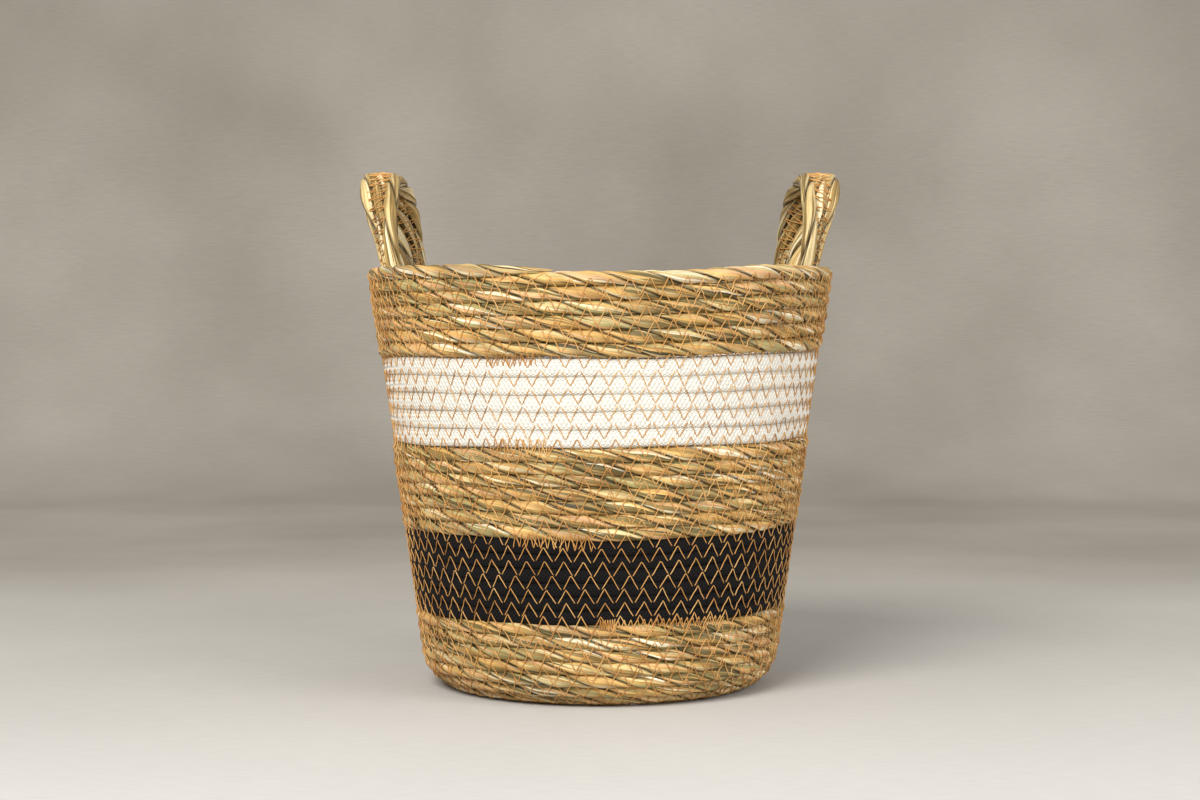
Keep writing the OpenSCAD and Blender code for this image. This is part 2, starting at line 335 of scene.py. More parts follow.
def run_tree(name, path, tree, **sizes):
    """Runs a tree on a path and keeps the result as a plain mesh object at the origin."""
    source = path_object(name + "_path", path)
    modifier = source.modifiers.new("nodes", "NODES")
    modifier.node_group = tree
    sockets = {s.name: s.identifier for s in tree.interface.items_tree
               if getattr(s, "in_out", "") == "INPUT"}
    for key, value in sizes.items():
        modifier[sockets[key.replace("_", " ")]] = value
    evaluated = source.evaluated_get(bpy.context.evaluated_depsgraph_get())
    mesh = bpy.data.meshes.new_from_object(evaluated)
    bpy.data.objects.remove(source)
    mesh.name = name
    if mesh_volume(mesh) < 0:
        mesh.flip_normals()
    made = bpy.data.objects.new(name, mesh)
    bpy.context.scene.collection.objects.link(made)
    print(f"{name}: {triangles(mesh)} triangles, {mesh_volume(mesh) * 1e6:.2f} cm3")
    return made


def triangles(mesh):
    counts = np.zeros(len(mesh.polygons), np.int32)
    mesh.polygons.foreach_get("loop_total", counts)
    return int((counts - 2).sum())


def mesh_volume(mesh):
    mesh.calc_loop_triangles()
    corners = np.zeros(len(mesh.loop_triangles) * 3, np.int32)
    mesh.loop_triangles.foreach_get("vertices", corners)
    at = np.zeros(len(mesh.vertices) * 3, np.float32)
    mesh.vertices.foreach_get("co", at)
    a, b, c = at.reshape(-1, 3).astype(float)[corners].reshape(-1, 3, 3).transpose(1, 0, 2)
    return float((a * np.cross(b, c)).sum() / 6)


# %% [markdown]
# ## Twisted seagrass cord
#
# Seagrass cord is two strands laid round each other. Each strand is a bundle of flat blades, so
# it is not a smooth tube: it has ridges along it, swells and thins, and squashes against its
# twin. A twisted profile swept along a curve would do for a rope seen from far. Here every ring
# of the sweep is placed by a rule instead: the ring's middle turns round the path, the ring
# itself is an oval that turns with it, and noise that runs along the strand raises the ridges.


# %% The tree for a twisted cord
def bare_tube(tree, path, sides):
    """A tube with one ring for each point of the path, put in place later."""
    size = put(tree, "GeometryNodeAttributeDomainSize", path)
    line = result(put(tree, "GeometryNodeCurvePrimitiveLine"))
    rings = result(put(tree, "GeometryNodeResampleCurve",
                       named={"Curve": line, "Count": result(size, "Point Count")}))
    profile = result(put(tree, "GeometryNodeCurvePrimitiveCircle", named={"Resolution": sides}))
    tube = result(put(tree, "GeometryNodeCurveToMesh", named={
        "Curve": rings, "Profile Curve": profile, "Fill Caps": True}))
    index = result(put(tree, "GeometryNodeInputIndex"))
    ring = result(put(tree, "FunctionNodeIntegerMath", index, sides, operation="DIVIDE_FLOOR"))
    side = result(put(tree, "FunctionNodeIntegerMath", index, sides, operation="MODULO"))
    angle = calc(tree, "DIVIDE", calc(tree, "MULTIPLY", side, 2 * math.pi), sides)
    return tube, ring, angle


def reader(tree, path, ring):
    """Returns a function that reads one of the path's attributes at the ring."""
    def read(name):
        kind = "FLOAT_VECTOR" if name in ("point", "out", "up") else "FLOAT"
        if name == "point":
            value = result(put(tree, "GeometryNodeInputPosition"))
        else:
            value = result(put(tree, "GeometryNodeInputNamedAttribute", name, data_type=kind))
        return result(put(tree, "GeometryNodeSampleIndex", path, value, ring, data_type=kind))
    return read


def keep_attribute(tree, geometry, name, value, kind="FLOAT_VECTOR"):
    return result(put(tree, "GeometryNodeStoreNamedAttribute", named={
        "Geometry": geometry, "Name": name, "Value": value}, data_type=kind, domain="POINT"))


BLADES_ROUND, BLADES_ALONG, SWELLS_ALONG = 1.7, 26.0, 28.0


def strand(tree, given, phase):
    """One of the cord's strands, starting at that phase of the twist."""
    path = given["Geometry"]
    tube, ring, angle = bare_tube(tree, path, given["Sides"])
    read = reader(tree, path, ring)
    out, up, along = read("out"), read("up"), read("along")
    turn = calc(tree, "SUBTRACT", phase, calc(tree, "DIVIDE",
                calc(tree, "MULTIPLY", along, 2 * math.pi), given["Lay"]))
    c, s = calc(tree, "COSINE", turn), calc(tree, "SINE", turn)
    away = vec(tree, "ADD", vec(tree, "SCALE", out, c), vec(tree, "SCALE", up, s))
    side = vec(tree, "SUBTRACT", vec(tree, "SCALE", up, c), vec(tree, "SCALE", out, s))
    ca, sa = calc(tree, "COSINE", angle), calc(tree, "SINE", angle)
    seed = calc(tree, "ADD", calc(tree, "MULTIPLY", phase, 3.1), given["Seed"])
    drift = calc(tree, "MULTIPLY_ADD", along, given["Blade drift"], seed)
    cd = calc(tree, "COSINE", calc(tree, "ADD", angle, drift))
    sd = calc(tree, "SINE", calc(tree, "ADD", angle, drift))
    blades = xyz(tree, calc(tree, "MULTIPLY", cd, BLADES_ROUND), calc(tree, "MULTIPLY", sd, BLADES_ROUND),
                 calc(tree, "MULTIPLY_ADD", along, BLADES_ALONG, seed))
    ridge = calc(tree, "SUBTRACT", noise(tree, blades, 1.0, 2.0, 0.6), 0.5)
    swell_at = xyz(tree, seed, 0.0, calc(tree, "MULTIPLY", along, SWELLS_ALONG))
    swell = calc(tree, "SUBTRACT", noise(tree, swell_at, 1.0, 0.0), 0.5)
    fullness = calc(tree, "MULTIPLY_ADD", ridge, given["Ridges"],
                    calc(tree, "MULTIPLY_ADD", swell, given["Swell"], 1.0))
    full = calc(tree, "MULTIPLY", fullness, read("full"))
    reach = calc(tree, "MULTIPLY_ADD", ca, calc(tree, "MULTIPLY", full, given["Thick"]),
                 calc(tree, "MULTIPLY", given["Offset"], read("full")))
    wide = calc(tree, "MULTIPLY", sa, calc(tree, "MULTIPLY", full, given["Wide"]))
    place = vec(tree, "ADD", read("point"), vec(tree, "ADD", vec(tree, "SCALE", away, reach),
                                                vec(tree, "SCALE", side, wide)))
    moved = result(put(tree, "GeometryNodeSetPosition", named={"Geometry": tube, "Position": place}))
    kept = keep_attribute(tree, moved, "strand", xyz(tree, cd, sd, along))
    kept = keep_attribute(tree, kept, "ply", seed, "FLOAT")
    # ca says which way a point faces round its strand; the grass material paints shade on the side that
    # faces the twin strand.
    return keep_attribute(tree, kept, "bared", ca, "FLOAT")


def twisted_cord():
    tree, given = new_tree("twisted_cord", {
        "Sides": 16, "Lay": 49 * MM, "Offset": 1.55 * MM, "Thick": 2.3 * MM, "Wide": 3.9 * MM,
        "Ridges": 0.4, "Swell": 0.22, "Blade drift": -95.0, "Seed": 0.0, "Material": None},
        {"Material": "NodeSocketMaterial"})
    both = tree.nodes.new("GeometryNodeJoinGeometry")
    for phase in (math.pi, 0.0):
        tree.links.new(strand(tree, given, phase), both.inputs[0])
    return close_tree(tree, both.outputs[0], given["Material"])


TWISTED_CORD = twisted_cord()
print("twisted cord tree:", len(TWISTED_CORD.nodes), "nodes")

# %% [markdown]
# ## Soft braided cotton cord
#
# The black and white bands are a cotton cord with a fine braid. Pulled tight by the stitches,
# it is no longer round: its rows are flat faces that nearly merge. A superellipse gives that
# squarish oval, and two sets of waves that cross each other raise the braid's little knuckles.


# %% The tree for a braided cord
def rounded(tree, value, power):
    """Sign kept, size raised to a power below one: turns a circle's cosine into a squarer one."""
    return calc(tree, "MULTIPLY", calc(tree, "SIGN", value),
                calc(tree, "POWER", calc(tree, "ABSOLUTE", value), power))


SOFT_PATTERN, SOFT_THICK, SOFT_HIGH = 45.0, 0.16, 0.05


def braided_cord():
    tree, given = new_tree("braided_cord", {
        "Sides": 20, "Half thick": 3.2 * MM, "Half high": 5.1 * MM, "Sunk": 0.8 * MM,
        "Square": 0.62, "Knuckle": 0.055, "Braid": 5.2 * MM, "Braid strands": 6.0, "Seed": 0.0,
        "Material": None}, {"Material": "NodeSocketMaterial"})
    tube, ring, angle = bare_tube(tree, given["Geometry"], given["Sides"])
    read = reader(tree, given["Geometry"], ring)
    along, full = read("along"), read("full")
    ca, sa = calc(tree, "COSINE", angle), calc(tree, "SINE", angle)
    march = calc(tree, "DIVIDE", calc(tree, "MULTIPLY", along, 2 * math.pi), given["Braid"])
    fan = calc(tree, "MULTIPLY", angle, given["Braid strands"])
    rise = calc(tree, "ABSOLUTE", calc(tree, "SINE", calc(tree, "ADD", fan, march)))
    fall = calc(tree, "ABSOLUTE", calc(tree, "SINE", calc(tree, "SUBTRACT", fan, march)))
    knuckle = calc(tree, "MULTIPLY_ADD", calc(tree, "MULTIPLY", rise, fall), given["Knuckle"], 1.0)
    soft_at = xyz(tree, given["Seed"], ca, calc(tree, "MULTIPLY", along, SOFT_PATTERN))
    soft = calc(tree, "SUBTRACT", noise(tree, soft_at, 1.0, 2.0), 0.5)
    fullness = calc(tree, "MULTIPLY", full, calc(tree, "MULTIPLY_ADD", soft, SOFT_THICK,
                                                             knuckle))
    reach = calc(tree, "SUBTRACT", calc(tree, "MULTIPLY", calc(tree, "MULTIPLY",
                 rounded(tree, ca, given["Square"]), given["Half thick"]), fullness), given["Sunk"])
    high = calc(tree, "MULTIPLY", calc(tree, "MULTIPLY", rounded(tree, sa, given["Square"]),
                given["Half high"]), calc(tree, "MULTIPLY_ADD", soft, SOFT_HIGH, full))
    place = vec(tree, "ADD", read("point"), vec(tree, "ADD", vec(tree, "SCALE", read("out"), reach),
                                                vec(tree, "SCALE", read("up"), high)))
    moved = result(put(tree, "GeometryNodeSetPosition", named={"Geometry": tube, "Position": place}))
    kept = keep_attribute(tree, moved, "strand", xyz(tree, ca, sa, along))
    return close_tree(tree, kept, given["Material"])


BRAIDED_CORD = braided_cord()
print("braided cord tree:", len(BRAIDED_CORD.nodes), "nodes")

# %% [markdown]
# ## Zig-zag stitches
#
# The sewing machine's needle goes down in one row, crosses the groove and goes down in the next.
# The thread between two holes is taut, but it lies on the cords. Drawn flat it would sink into
# every swelling. So each point of the thread is dropped on the finished cords by a ray, its
# height is blurred along the thread, and the higher of the two counts: tight, but never through.


# %% The tree for stitches
THREAD_SITS = 0.8           # share of its radius by which a thread's middle lies off the cord
SIDES_OF_THREAD = 5
TAUT_STEPS = 3
UNEVEN_PATTERN, SLACK_PATTERN, SLACK_FROM, SLACK_BY = 40.0, 90.0, 0.85, 0.3
DIVE_FROM = 0.72            # share of a stitch's reach at which the thread starts to dive


def stitches():
    tree, given = new_tree("stitches", {
        "Skin": None, "Pitch": 11 * MM, "Reach up": 5 * MM, "Reach down": 5 * MM,
        "Thread": 0.34 * MM, "Side": 1.0, "Dive up": 0.4 * MM, "Dive down": 0.4 * MM,
        "Wander": 0.12, "Float": 8 * MM, "Seed": 0.0, "Material": None},
        {"Skin": "NodeSocketObject", "Material": "NodeSocketMaterial"})
    path = given["Geometry"]
    size = put(tree, "GeometryNodeAttributeDomainSize", path)
    line = result(put(tree, "GeometryNodeCurvePrimitiveLine"))
    thread = result(put(tree, "GeometryNodeResampleCurve",
                        named={"Curve": line, "Count": result(size, "Point Count")}))
    index = result(put(tree, "GeometryNodeInputIndex"))
    read = reader(tree, path, index)
    along = read("along")
    uneven_at = xyz(tree, given["Seed"], 0.0, calc(tree, "MULTIPLY", along, UNEVEN_PATTERN))
    uneven = calc(tree, "SUBTRACT", noise(tree, uneven_at, 1.0, 1.0), 0.5)
    beat = calc(tree, "MULTIPLY_ADD", uneven, given["Wander"],
                calc(tree, "DIVIDE", along, given["Pitch"]))
    saw = calc(tree, "MULTIPLY_ADD", calc(tree, "PINGPONG", beat, 0.5), 4.0, -1.0)
    slack_at = xyz(tree, calc(tree, "ADD", given["Seed"], 7.7), 0.0,
                   calc(tree, "MULTIPLY", along, SLACK_PATTERN))
    slack = calc(tree, "MULTIPLY_ADD", noise(tree, slack_at, 1.0, 1.0), SLACK_BY, SLACK_FROM)
    upper = calc(tree, "GREATER_THAN", saw, 0.0)
    reach = result(put(tree, "ShaderNodeMix", upper, given["Reach down"], given["Reach up"]))
    shift = calc(tree, "MULTIPLY", calc(tree, "MULTIPLY", saw, reach),
                 calc(tree, "MULTIPLY", slack, read("full")))
    out = vec(tree, "SCALE", read("out"), given["Side"])
    flat = vec(tree, "ADD", read("point"), vec(tree, "SCALE", read("up"), shift))
    above = vec(tree, "ADD", flat, vec(tree, "SCALE", out, given["Float"]))
    skin = result(put(tree, "GeometryNodeObjectInfo", named={"Object": given["Skin"]}), "Geometry")
    ray = put(tree, "GeometryNodeRaycast", named={
        "Target Geometry": skin, "Source Position": above,
        "Ray Direction": vec(tree, "SCALE", out, -1.0),
        "Ray Length": calc(tree, "MULTIPLY", given["Float"], 2.0)})
    height = calc(tree, "MULTIPLY", result(ray, "Is Hit"),
                  calc(tree, "SUBTRACT", given["Float"], result(ray, "Hit Distance")))
    kept = keep_attribute(tree, thread, "lift", height, "FLOAT")
    lift = result(put(tree, "GeometryNodeInputNamedAttribute", "lift", data_type="FLOAT"))
    taut = result(put(tree, "GeometryNodeBlurAttribute", lift, TAUT_STEPS, data_type="FLOAT"))
    top = calc(tree, "ADD", calc(tree, "MAXIMUM", lift, taut),
               calc(tree, "MULTIPLY", given["Thread"], THREAD_SITS))
    ends = spread(tree, calc(tree, "ABSOLUTE", saw), DIVE_FROM, 1.0, 0.0, 1.0)
    depth = result(put(tree, "ShaderNodeMix", upper, given["Dive down"], given["Dive up"]))
    final = calc(tree, "SUBTRACT", top, calc(tree, "MULTIPLY", ends, depth))
    place = vec(tree, "ADD", flat, vec(tree, "SCALE", out, final))
    moved = result(put(tree, "GeometryNodeSetPosition", named={"Geometry": kept, "Position": place}))
    profile = result(put(tree, "GeometryNodeCurvePrimitiveCircle",
                         named={"Resolution": SIDES_OF_THREAD, "Radius": given["Thread"]}))
    tube = result(put(tree, "GeometryNodeCurveToMesh", named={
        "Curve": moved, "Profile Curve": profile, "Fill Caps": True}))
    return close_tree(tree, tube, given["Material"])


STITCHES = stitches()
print("stitch tree:", len(STITCHES.nodes), "nodes")

# %% [markdown]
# ## Materials
#
# Dried seagrass is not one colour. Blades of olive, straw, gold and pinkish beige lie side by
# side, each with fine veins, a little gloss and painted shade where two strands meet. The
# path's own attributes say where a point lies round and along its strand, so the veins follow the twist.
# Cotton is matt and even, with the braid as fine relief and painted shade in its pits.
# The thread is a slightly shiny tan.


# %% Colour helpers
def tint(code):
    """Colour from a web code, in the linear values that a shader takes."""
    parts = [int(code[i:i + 2], 16) / 255 for i in (1, 3, 5)]
    return tuple(p / 12.92 if p <= 0.04045 else ((p + 0.055) / 1.055) ** 2.4 for p in parts) + (1.0,)


def new_material(name):
    made = bpy.data.materials.new(name)
    made.use_nodes = True
    tree = made.node_tree
    tree.nodes.clear()
    shader = tree.nodes.new("ShaderNodeBsdfPrincipled")
    end = tree.nodes.new("ShaderNodeOutputMaterial")
    tree.links.new(shader.outputs[0], end.inputs["Surface"])
    return made, tree, shader


def attribute(tree, name, kind="Vector"):
    made = put(tree, "ShaderNodeAttribute", attribute_name=name, attribute_type="GEOMETRY")
    return made.outputs[kind]


def ramp(tree, value, stops):
    made = put(tree, "ShaderNodeValToRGB", value)
    while len(made.color_ramp.elements) < len(stops):
        made.color_ramp.elements.new(0.5)
    for element, (at, code) in zip(made.color_ramp.elements, stops):
        element.position = at
        element.color = tint(code)
    return made.outputs["Color"]


def blend_colour(tree, how, share, a, b):
    made = tree.nodes.new("ShaderNodeMix")
    made.data_type = "RGBA"
    made.blend_type = how
    for socket, value in zip([s for s in made.inputs if s.enabled], (share, a, b)):
        plug(tree, socket, value)
    return result(made)


def relief(tree, shader, height, strength, distance):
    made = put(tree, "ShaderNodeBump", named={"Height": height, "Strength": strength,
                                              "Distance": distance})
    tree.links.new(made.outputs[0], shader.inputs["Normal"])


# %% Seagrass
# How often each pattern repeats: round a strand twice, then along it; patches are on the object.
BLADE_PATTERN, VEIN_PATTERN, PATCH_PATTERN = (2.3, 2.3, 16.0), (9.0, 9.0, 45.0), 26.0
VEIN_LIGHT, PATCH_LIGHT = (0.42, 1.3), (0.72, 1.16)
DULL_GRASS, VEIN_HEIGHT = 0.62, 0.6 * MM


def grass(name, tones, gap_shade, vein_depth, shine):
    made, tree, shader = new_material(name)
    where = attribute(tree, "strand")
    ply = attribute(tree, "ply", "Fac")
    shifted = vec(tree, "ADD", where, xyz(tree, 0.0, 0.0, ply))
    blades = put(tree, "ShaderNodeTexVoronoi", named={
        "Vector": vec(tree, "MULTIPLY", shifted, BLADE_PATTERN), "Scale": 1.0,
        "Randomness": 1.0}, voronoi_dimensions="3D")
    pick = put(tree, "ShaderNodeSeparateColor", result(blades, "Color"))
    colour = ramp(tree, pick.outputs[0], tones)
    veins = noise(tree, vec(tree, "MULTIPLY", shifted, VEIN_PATTERN), 1.0, 4.0, 0.65)
    light = spread(tree, veins, 0.3, 0.7, *VEIN_LIGHT)
    place = result(put(tree, "ShaderNodeTexCoord"), "Object")
    patches = spread(tree, noise(tree, place, PATCH_PATTERN, 2.0), 0.32, 0.68, *PATCH_LIGHT)
    shade = calc(tree, "MULTIPLY", light, patches)
    grey = xyz(tree, shade, shade, shade)
    colour = blend_colour(tree, "MULTIPLY", 1.0, colour, grey)
    # Painted shade: the side of each strand that faces its twin is darkened to the gap colour.
    bared = spread(tree, attribute(tree, "bared", "Fac"), -0.8, -0.1, 0.0, 1.0)
    colour = blend_colour(tree, "MIX", bared, tint(gap_shade), colour)
    tree.links.new(colour, shader.inputs["Base Color"])
    shader.inputs["Roughness"].default_value = DULL_GRASS - shine
    shader.inputs["Specular IOR Level"].default_value = 0.4
    relief(tree, shader, veins, vein_depth, VEIN_HEIGHT)
    return made


WALL_TONES = [(0.0, "#4c4121"), (0.12, "#7d6c3c"), (0.26, "#a5854a"), (0.4, "#c79c56"),
              (0.53, "#d9b06a"), (0.66, "#d2a578"), (0.78, "#a39a62"), (0.9, "#dcc48c"),
              (1.0, "#f4ead0")]
HANDLE_TONES = [(0.0, "#5f4c26"), (0.25, "#937640"), (0.5, "#b99a5c"), (0.8, "#d6be87"),
                (1.0, "#efe4c0")]
# The dark colour after the tones is painted shade between the strands.
SEAGRASS = grass("seagrass", WALL_TONES, "#1a1007", 0.6, 0.12)
HANDLE_GRASS = grass("handle_seagrass", HANDLE_TONES, "#1d1308", 0.45, 0.26)


# %% Cotton
FINE_STRANDS, FINE_BRAID = 7.0, 5.4 * MM
# The third value is how strongly painted shade darkens the braid's pits.
FLUFF_PATTERN, FLUFF, PIT_SHADE_SHARE, BRAID_HEIGHT = 900.0, 0.45, 0.45, 0.7 * MM


def cotton(name, code, pit_shade):
    made, tree, shader = new_material(name)
    where = attribute(tree, "strand")
    parts = put(tree, "ShaderNodeSeparateXYZ", where)
    angle = calc(tree, "ARCTAN2", parts.outputs[1], parts.outputs[0])
    fan = calc(tree, "MULTIPLY", angle, FINE_STRANDS)
    march = calc(tree, "MULTIPLY", parts.outputs[2], 2 * math.pi / FINE_BRAID)
    rise = calc(tree, "ABSOLUTE", calc(tree, "SINE", calc(tree, "ADD", fan, march)))
    fall = calc(tree, "ABSOLUTE", calc(tree, "SINE", calc(tree, "SUBTRACT", fan, march)))
    weave = calc(tree, "MULTIPLY", rise, fall)
    place = result(put(tree, "ShaderNodeTexCoord"), "Object")
    rough = noise(tree, place, FLUFF_PATTERN, 3.0)
    height = calc(tree, "MULTIPLY_ADD", rough, FLUFF, weave)
    # Painted shade: the braid's pits and low spots are darkened towards the pit colour.
    pit_shade_mask = spread(tree, height, 0.18, 0.5, 1.0, 0.0)
    colour = blend_colour(tree, "MIX", calc(tree, "MULTIPLY", pit_shade_mask, PIT_SHADE_SHARE),
                          tint(code), tint(pit_shade))
    tree.links.new(colour, shader.inputs["Base Color"])
    shader.inputs["Roughness"].default_value = 0.92
    shader.inputs["Specular IOR Level"].default_value = 0.2
    relief(tree, shader, height, 0.9, BRAID_HEIGHT)
    return made


# The second colour of each is painted shade for the braid's pits.
WHITE_COTTON = cotton("white_cotton", "#e9e5db", "#8d8577")
BLACK_COTTON = cotton("black_cotton", "#100e0f", "#050405")


# %% Sewing thread
DYE_PATTERN, THREAD_LAY, THREAD_HEIGHT = 60.0, 2500.0, 0.2 * MM


def sewing_thread(name, stops):
    made, tree, shader = new_material(name)
    place = result(put(tree, "ShaderNodeTexCoord"), "Object")
    colour = ramp(tree, noise(tree, place, DYE_PATTERN, 2.0), stops)
    tree.links.new(colour, shader.inputs["Base Color"])
    shader.inputs["Roughness"].default_value = 0.55
    relief(tree, shader, noise(tree, place, THREAD_LAY, 1.0), 0.3, THREAD_HEIGHT)
    return made


THREAD = sewing_thread("tan_thread", [(0.3, "#9c6a2e"), (0.5, "#b98646"), (0.7, "#cda263")])
print("materials:", len(bpy.data.materials))

# %% [markdown]
# ## The six bands
#
# Each band of the wall is one piece of cord. The last half turn thins out to a point, where the
# maker cut the cord and sewed its end down on the rim.

# %% Cords of the base and wall
GRASS_STEP, COTTON_STEP = 2.5 * MM, 1.3 * MM
START_TAPER, RIM_TAPER = 12 * MM, 45 * MM
THINNEST, BLUNTNESS = 0.02, 0.6
BANDS = {
    "base": (0, LOWER_FROM - 1), "lower": (LOWER_FROM, BLACK_FROM - 1),
    "black": (BLACK_FROM, MIDDLE_FROM - 1), "middle": (MIDDLE_FROM, WHITE_FROM - 1),
    "white": (WHITE_FROM, UPPER_FROM - 1), "upper": (UPPER_FROM, COIL_END - 1)}


def taper(path, length, at_end=True):
    """Thins a path's cord to nothing over its last or first stretch."""
    left = path["along"][-1] - path["along"] if at_end else path["along"]
    path["full"] = np.clip(left / length, THINNEST, 1.0) ** BLUNTNESS
    return path


cords = {}
for number, (band, (first, last)) in enumerate(BANDS.items()):
    is_cotton = band in ("black", "white")
    path = coil_path(JOINT_R, JOINT_Z, JOINT_S, first, last,
                     COTTON_STEP if is_cotton else GRASS_STEP)
    if band == "base":
        path = taper(path, START_TAPER, at_end=False)
    if band == "upper":
        path = taper(path, RIM_TAPER)
    if band == "black":
        made = run_tree("black_cord", path, BRAIDED_CORD, Half_thick=3.6 * MM, Half_high=4.35 * MM,
                        Sunk=0.2 * MM, Square=0.6, Seed=3.0, Material=BLACK_COTTON)
    elif band == "white":
        made = run_tree("white_cord", path, BRAIDED_CORD, Half_thick=3.2 * MM, Half_high=5.35 * MM,
                        Sunk=1.0 * MM, Square=0.42, Knuckle=0.09, Seed=9.0, Material=WHITE_COTTON)
    else:
        made = run_tree(band + "_cord", path, TWISTED_CORD, Seed=float(number * 5),
                        Material=SEAGRASS)
    cords[band] = made

# %% [markdown]
# ## Sewing it up
#
# Every seam is sewn from outside, so the needle's thread shows on the outside and the bobbin's
# thread on the inside. On the white cord the upper ends of the zig-zag sink into the braid, on
# the black cord the lower ends do. On the grass the zig-zag is as high as a row and a half, so
# that neighbouring seams cross.


# %% Seams
def seam_joints():
    """Joints of the line between a half turn and the one above it."""
    s = (JOINT_S[:-2] + JOINT_S[2:]) / 2
    return (JOINT_R[:-2] + JOINT_R[2:]) / 2, (JOINT_Z[:-2] + JOINT_Z[2:]) / 2, s


def skin_of(objects, name):
    """One joined copy of some pieces, for threads to lie on."""
    at, faces, count = [], [], 0
    for o in objects:
        mesh = o.data
        co = np.zeros(len(mesh.vertices) * 3, np.float32)
        mesh.vertices.foreach_get("co", co)
        mesh.calc_loop_triangles()
        tri = np.zeros(len(mesh.loop_triangles) * 3, np.int32)
        mesh.loop_triangles.foreach_get("vertices", tri)
        at.append(co.reshape(-1, 3))
        faces.append(tri.reshape(-1, 3) + count)
        count += len(mesh.vertices)
    joined = bpy.data.meshes.new(name)
    joined.from_pydata(np.concatenate(at).tolist(), [], np.concatenate(faces).tolist())
    made = bpy.data.objects.new(name, joined)
    bpy.context.scene.collection.objects.link(made)
    return made


SEAM_R, SEAM_Z, SEAM_S = seam_joints()
SEAM_END = COIL_END - 2
wall_skin = skin_of(cords.values(), "wall_skin")
PITCH, STEPS_A_STITCH = 10.6 * MM, 12
EASY_END, LEAST_REACH = 40 * MM, 0.3    # the last stitches shrink towards the rim's end
STITCH_LOOKS = {
    "base": {"Reach_up": 4.6 * MM, "Reach_down": 4.6 * MM},
    "lower": {"Reach_up": 5.4 * MM, "Reach_down": 5.4 * MM},
    "black": {"Reach_up": 4.9 * MM, "Reach_down": 4.5 * MM, "Dive_down": 1.7 * MM,
              "Thread": 0.3 * MM},
    "middle": {"Reach_up": 5.4 * MM, "Reach_down": 5.4 * MM},
    "white": {"Reach_up": 4.8 * MM, "Reach_down": 5.4 * MM, "Dive_up": 1.6 * MM,
              "Thread": 0.3 * MM},
    "upper": {"Reach_up": 5.4 * MM, "Reach_down": 5.4 * MM}}
threads = []
for number, (band, (first, last)) in enumerate(BANDS.items()):
    last = min(last, SEAM_END - 1)
    path = coil_path(SEAM_R, SEAM_Z, SEAM_S, first, last, PITCH / STEPS_A_STITCH,
                     pair=True)
    if band == "upper":
        path["full"] = np.clip((path["along"][-1] - path["along"]) / EASY_END, LEAST_REACH, 1.0)
    for side, word in ((1.0, "needle"), (-1.0, "bobbin")):
        made = run_tree(f"{band}_{word}_stitches", path, STITCHES, Skin=wall_skin, Pitch=PITCH,
                        Side=side, Seed=float(number * 3) + side, Material=THREAD,
                        **STITCH_LOOKS[band])
        threads.append((made, f"{band}_{word}_thread"))

# %% [markdown]
# ## Where the sewer stopped and started
#
# Each change of cord is sewn over again, or the seam would open there. These patches of extra
# thread sit on the edges of the bands at the front: closer stitches, less even, a little looser.

# %% Patches of extra thread
# Each patch: its half turn, from where to where on it, the pitch and the reach of its stitches.
PATCHES = {
    "white_edge_patch": (UPPER_FROM - 2, 0.90, 0.975, 3.4 * MM, 4.2 * MM),
    "white_low_patch": (WHITE_FROM - 2, 0.90, 0.99, 4.2 * MM, 5.5 * MM),
    "black_edge_patch": (MIDDLE_FROM - 2, 0.925, 1.0, 4.0 * MM, 4.6 * MM),
    "black_edge_patch_end": (MIDDLE_FROM - 1, 0.0, 0.05, 4.4 * MM, 5.2 * MM),
    "black_low_tack": (BLACK_FROM - 1, 0.06, 0.085, 1.3 * MM, 3.6 * MM),
    "black_low_patch": (BLACK_FROM - 1, 0.085, 0.28, 3.6 * MM, 3.0 * MM)}
for number, (name, (k, start, end, pitch, reach)) in enumerate(PATCHES.items()):
    length = math.pi * (SEAM_R[k] + SEAM_R[k + 1]) / 2 * (end - start)
    p, o, u = half_turn_path(SEAM_R, SEAM_Z, SEAM_S, k,
                             np.linspace(start, end, round(length * STEPS_A_STITCH / pitch)), True)
    made = run_tree(name, finish_path(p, o, u), STITCHES, Skin=wall_skin, Pitch=pitch,
                    Reach_up=reach, Reach_down=reach, Wander=0.9, Thread=0.3 * MM,
                    Seed=90.0 + number, Material=THREAD)
    threads.append((made, None))

# %% [markdown]
# ## The handles
#
# A handle is a flat ribbon of three cords, sewn side by side. Its two ends lie flat on the
# inside of the wall, just under the rim. From there it twists until its flat side faces up, so
# that it lies well in the hand. The cords run through the fold at the rim in one piece, so each
# is one mesh.

# %% Middle line of a handle
HANDLE_R = 3.45 * MM
CORD_STEP = 7.1 * MM
RIBBON_WIDER = 1.08
SPAN, RISE, OUTREACH, ROOT = 92 * MM, 58 * MM, 12.5 * MM, 42 * MM
TURNED_BACK = math.radians(4)
ROOT_GAP, ROOT_CLEAR = 0.4 * MM, 1.2 * MM
LEG_PULL, TOP_PULL = 0.62 * RISE, 0.30 * SPAN
ROOT_POINTS, ARCH_POINTS = 28, 46
FOLD_Z = JOINT_Z[-2] + (GRASS_ROW - ROW_GAP) / 2


